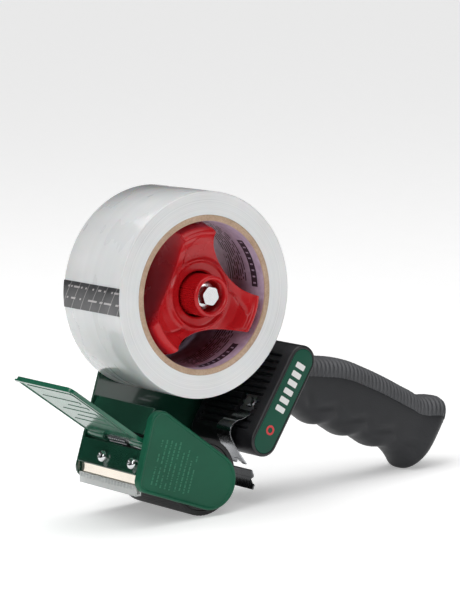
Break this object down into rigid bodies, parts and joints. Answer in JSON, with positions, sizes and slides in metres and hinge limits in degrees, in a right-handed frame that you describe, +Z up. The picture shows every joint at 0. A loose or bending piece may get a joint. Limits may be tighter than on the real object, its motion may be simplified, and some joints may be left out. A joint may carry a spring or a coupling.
{
  "type": "tape dispenser",
  "caption": "Hand-held packing tape dispenser: a pistol grip, a roll of clear tape on a braked hub, a rubber roller, a cutting blade and a pressing flap.",
  "frame": {"origin": "on the table, below the middle of the overall box", "axes": "+X from the blade end towards the end of the handle, +Y across the width towards the steel side plate, +Z up as the dispenser stands on its roller and the heel of its handle"},
  "size_m": [0.2572, 0.0668, 0.1677],
  "materials": {
    "green_steel": "gloss, dark green enamel",
    "green_plastic": "satin, green",
    "black_plastic": "fine grain, black",
    "soft_grip": "matt, soft moulded skin",
    "ribbed_grip": "matt, ribbed, grey",
    "red_plastic": "gloss, red",
    "spring_steel": "bright spring steel",
    "bright_steel": "bright plated",
    "blade_steel": "polished",
    "clear_plastic": "clear, gloss",
    "rubber": "matt, ribbed, black",
    "cardboard": "plain, wound",
    "tape_film": "clear film, milky in the roll",
    "tab_paper": "printed in plain bands",
    "bronze": "sintered",
    "white_nylon": "plain"
  },
  "bodies": {
    "frame": {"axle_bolt": "bright_steel", "axle_nut": "bright_steel", "blade": "blade_steel", "blade_guard": "clear_plastic", "blade_nut_1": "bright_steel", "blade_nut_2": "bright_steel", "blade_screw_1": "bright_steel", "blade_screw_2": "bright_steel", "brake_spring": "spring_steel", "catch_clip": "spring_steel", "catch_screw": "bright_steel", "cover_screw_1": "bright_steel", "cover_screw_2": "bright_steel", "cross_band": "green_steel", "far_frame_screw_1": "bright_steel", "far_frame_screw_2": "bright_steel", "far_frame_screw_3": "bright_steel", "flap_pin": "bright_steel", "flap_spring": "spring_steel", "front_panel": "green_steel", "grip": "soft_grip", "grip_backstrap": "ribbed_grip", "guide_screw": "bright_steel", "handle_tang": "bright_steel", "housing": "black_plastic", "housing_screw_1": "bright_steel", "housing_screw_2": "bright_steel", "housing_screw_3": "bright_steel", "hub_spacer": "bright_steel", "near_bracket": "green_steel", "near_cover": "green_plastic", "near_frame_screw_1": "bright_steel", "near_frame_screw_2": "bright_steel", "near_frame_screw_3": "bright_steel", "rear_guide": "spring_steel", "roller_axle": "bright_steel", "roller_axle_nut": "bright_steel", "side_badge": "green_plastic", "side_plate": "green_steel"},
    "roller": {"roller_tyre": "rubber", "roller_core": "black_plastic", "near_roller_bush": "white_nylon", "far_roller_bush": "white_nylon"},
    "hub": {"hub": "red_plastic", "hub_bush": "bronze"},
    "tape_roll": {"tape_core": "cardboard", "tape_winding": "tape_film", "starter_tab": "tab_paper"},
    "brake_slide": {"pressure_washer": "bright_steel"},
    "brake_knob": {"brake_knob": "red_plastic"},
    "flap": {"flap": "green_plastic"},
    "catch": {"catch_strap": "spring_steel"}
  },
  "joints": [
    {"name": "roller_spin", "type": "hinge", "parent": "frame", "child": "roller", "pos_m": [-0.04777, -0.00195, 0.0202], "axis": [0, 1, 0], "continuous": true},
    {"name": "hub_spin", "type": "hinge", "parent": "frame", "child": "hub", "pos_m": [-0.04427, -0.00195, 0.1145], "axis": [0, 1, 0], "continuous": true},
    {"name": "tape_roll_slide", "type": "slide", "parent": "hub", "child": "tape_roll", "axis": [0, -1, 0], "range_m": [0, 0.05]},
    {"name": "brake_slide", "type": "slide", "parent": "frame", "child": "brake_slide", "axis": [0, 1, 0], "range_m": [-0.0012, 0.0012], "deforming": ["brake_spring"]},
    {"name": "brake_turn", "type": "hinge", "parent": "brake_slide", "child": "brake_knob", "pos_m": [-0.04427, -0.00195, 0.1145], "axis": [0, 1, 0], "range_deg": [-430, 430]},
    {"name": "flap_hinge", "type": "hinge", "parent": "frame", "child": "flap", "pos_m": [-0.08257, -0.00195, 0.0422], "axis": [0, 1, 0], "range_deg": [-38, 10], "stiffness_Nm_per_rad": 0.09, "deforming": ["flap_spring"]},
    {"name": "catch_flex", "type": "hinge", "parent": "frame", "child": "catch", "pos_m": [-0.0108, -0.00195, 0.04773], "axis": [0, 1, 0], "range_deg": [-2.5, 6], "stiffness_Nm_per_rad": 0.2}
  ],
  "couplings": [
    {"joint": "brake_slide", "follows": "brake_turn", "m_per_rad": 0.00015915}
  ]
}
